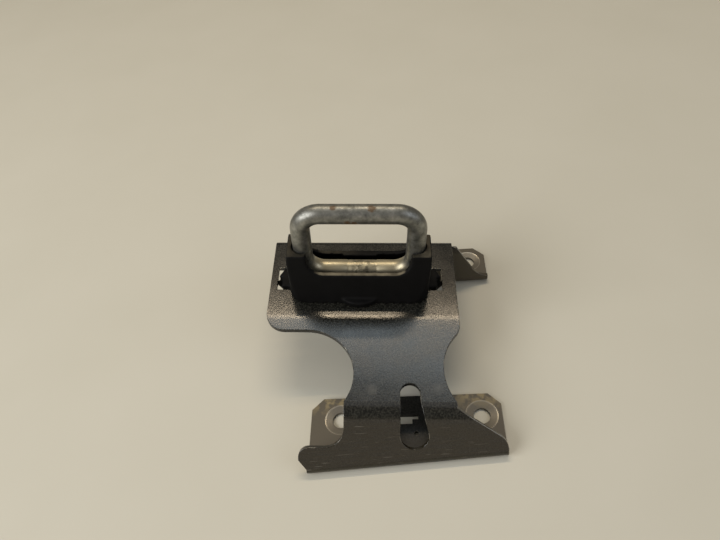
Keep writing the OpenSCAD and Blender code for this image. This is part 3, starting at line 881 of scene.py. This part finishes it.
@dataclass
class StrikerLoop:
    """The closed loop of round rod.

    Attributes:
        rod_d: Diameter of the rod.
        width: Distance between the legs, centre to centre.
        height: Distance between the bars, centre to centre.
        top_r: Centreline radius of the upper corners.
        low_r: Centreline radius of the lower corners.
        sides: Facets round the rod.
        corner_steps: Facets along a corner.
        weld_left: Left edge of the butt weld's dressed band.
        weld_right: Right edge of that band.
        seam: Width of the fine groove at each edge of the band.
        seam_depth: Depth of that groove.
        band_depth: Depth to which the band was dressed.
        spots: The rust spots.
    """

    rod_d: float = 8.5
    width: float = 50.0
    height: float = 36.0
    top_r: float = 9.0
    low_r: float = 10.0
    sides: int = 48
    corner_steps: int = 16
    weld_left: float = -5.2
    weld_right: float = 7.6
    seam: float = 0.5
    seam_depth: float = 0.24
    band_depth: float = 0.1
    spots: tuple[RustSpot, ...] = (
        RustSpot(5.6, 80, 3.0), RustSpot(-10.2, 82, 2.3), RustSpot(-4.4, -18, 2.6), RustSpot(-1.6, -20, 2.2),
    )

    def build(self, deck: DeckFrame) -> bpy.types.Object:
        """Sweeps the rod round the loop.

        Args:
            deck: The frame that the loop stands in.

        Returns:
            The loop, in place of its CAD node.
        """
        bm = bmesh.new()
        half, radius = self.width / 2, self.rod_d / 2
        top_half, low_half = half - self.top_r, half - self.low_r
        low = -self.height
        start = Matrix.Translation(metres((-top_half, 0, 0))) @ Matrix.Rotation(math.radians(90), 4, "Y")
        ring = bmesh.ops.create_circle(bm, segments=self.sides, radius=radius * MM, matrix=start)
        edges = list({edge for vert in ring["verts"] for edge in vert.link_edges})
        edges = self._run(bm, edges, (2 * top_half, 0, 0))
        edges = self._corner(bm, edges, (top_half, 0, -self.top_r))
        edges = self._run(bm, edges, (0, 0, low + self.top_r + self.low_r))
        edges = self._corner(bm, edges, (low_half, 0, low + self.low_r))
        edges = self._weld(bm, edges, low_half, low)
        edges = self._corner(bm, edges, (-low_half, 0, low + self.low_r))
        edges = self._run(bm, edges, (0, 0, self.height - self.top_r - self.low_r))
        self._corner(bm, edges, (-top_half, 0, -self.top_r))
        bmesh.ops.remove_doubles(bm, verts=bm.verts, dist=SEAM_MERGE)
        bmesh.ops.recalc_face_normals(bm, faces=bm.faces)
        bmesh.ops.transform(bm, matrix=deck.matrix(), verts=bm.verts)
        for face in bm.faces:
            face.smooth = True
        piece = mesh_object(bm, "rod_loop")
        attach(piece, BODY)
        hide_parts(Node.LOOP.value)
        return piece

    def _run(self, bm: bmesh.types.BMesh, edges: list, way: Triple) -> list:
        """Extrudes the rod's section straight on and gives the new section's edges."""
        made = bmesh.ops.extrude_edge_only(bm, edges=edges)["geom"]
        verts = [item for item in made if isinstance(item, bmesh.types.BMVert)]
        bmesh.ops.translate(bm, verts=verts, vec=metres(way))
        return [item for item in made if isinstance(item, bmesh.types.BMEdge) and item.is_boundary]

    def _corner(self, bm: bmesh.types.BMesh, edges: list, centre: Triple) -> list:
        """Spins the rod's section round a corner and gives the new section's edges."""
        made = bmesh.ops.spin(bm, geom=edges, cent=metres(centre), axis=(0, 1, 0), angle=math.radians(90),
                              steps=self.corner_steps, use_merge=False)["geom_last"]
        return [item for item in made if isinstance(item, bmesh.types.BMEdge)]

    def _weld(self, bm: bmesh.types.BMesh, edges: list, low_half: float, low: float) -> list:
        """Runs the bottom bar from right to left, with the butt weld's dressed band and its two seams.

        Args:
            bm: The loop's bmesh.
            edges: The section at the bar's right end.
            low_half: Half the bar's straight length.
            low: Height of the bar's centre line.

        Returns:
            The section's edges at the bar's left end.
        """
        band, groove = self.band_depth, self.seam_depth
        stations = ((self.weld_right + self.seam, 0.0), (self.weld_right, groove),
                    (self.weld_right - self.seam, band), (self.weld_left + self.seam, band),
                    (self.weld_left, groove), (self.weld_left - self.seam, 0.0), (-low_half, 0.0))
        radius, x, depth = self.rod_d / 2, low_half, 0.0
        for next_x, next_depth in stations:
            edges = self._run(bm, edges, (next_x - x, 0, 0))
            share = (radius - next_depth) / (radius - depth)
            verts = list({vert for edge in edges for vert in edge.verts})
            bmesh.ops.scale(bm, verts=verts, vec=(1, share, share),
                            space=Matrix.Translation(-metres((next_x, 0, low))))
            x, depth = next_x, next_depth
        return edges

    def dress(self, piece: bpy.types.Object, deck: DeckFrame) -> None:
        """Gives the loop its worn plating."""
        place, radius = deck.matrix(), self.rod_d / 2
        spots = []
        for spot in self.spots:
            turn = math.radians(spot.turn)
            at = metres((spot.x, -radius * math.cos(turn), radius * math.sin(turn)))
            spots.append((place @ at, spot.radius))
        low = place @ metres((0, 0, -self.height))
        up = place.to_3x3() @ Vector((0, 0, 1))
        weld = place @ metres(((self.weld_left + self.weld_right) / 2, 0, -self.height))
        weld_reach = (self.weld_right - self.weld_left) / 2 + self.seam
        piece.data.materials.append(WornZinc().make(spots, low, up, radius, weld, weld_reach))


@dataclass
class StrikerSaddle:
    """The pressed saddle under the bottom bar, which keeps its CAD form."""

    def dress(self, node: bpy.types.Object) -> None:
        """Gives the saddle its coating."""
        node.data.materials.clear()
        node.data.materials.append(CoatedSteel().make())


@dataclass
class StrikerCover:
    """The moulded cover round the loop's base.

    Attributes:
        skin_grid: Grid of the skin laid over the CAD piece, fine enough for its thinnest wall.
        rounding_passes: Smoothing passes that round its moulded edges.
    """

    skin_grid: float = 0.45
    rounding_passes: int = 14

    def build(self, node: bpy.types.Object) -> bpy.types.Object:
        """Makes the cover with rounded edges, in place of its CAD node."""
        bm = bmesh.new()
        bm.from_mesh(node.data)
        bmesh.ops.remove_doubles(bm, verts=bm.verts, dist=MERGE)
        piece = mesh_object(bm, "moulded_cover")
        skin = piece.modifiers.new("moulded_skin", "REMESH")
        skin.mode = "VOXEL"
        skin.voxel_size = self.skin_grid * MM
        skin.use_smooth_shade = True
        rounding = piece.modifiers.new("rounded_edges", "SMOOTH")
        rounding.factor = 0.5
        rounding.iterations = self.rounding_passes
        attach(piece, BODY)
        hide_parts(Node.COVER.value)
        return piece

    def dress(self, piece: bpy.types.Object) -> None:
        """Gives the cover its moulded finish."""
        piece.data.materials.clear()
        piece.data.materials.append(MouldedCover().make())


def clear_scene() -> None:
    """Removes what a new Blender file holds."""
    for item in list(bpy.data.objects):
        bpy.data.objects.remove(item)


def main() -> None:
    """Builds and dresses the striker in its studio."""
    logging.basicConfig(level=logging.INFO, format="%(name)s: %(message)s")
    clear_scene()
    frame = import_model()
    nodes, record = frame["nodes"], frame["record"]
    bpy.context.scene.view_settings.view_transform = "Standard"
    Studio().build()
    deck = DeckFrame.from_record(record)

    bracket = StrikerBracket()
    bracket_piece = bracket.build(nodes[Node.BRACKET.value])
    bracket.dress(bracket_piece, record)

    loop = StrikerLoop()
    loop_piece = loop.build(deck)
    loop.dress(loop_piece, deck)

    StrikerSaddle().dress(nodes[Node.SADDLE.value])

    cover = StrikerCover()
    cover_piece = cover.build(nodes[Node.COVER.value])
    cover.dress(cover_piece)

    for piece in (bracket_piece, loop_piece, nodes[Node.SADDLE.value], cover_piece):
        LOG.info("%s: %d faces", piece.name, len(piece.data.polygons))


if __name__ == "__main__":
    main()
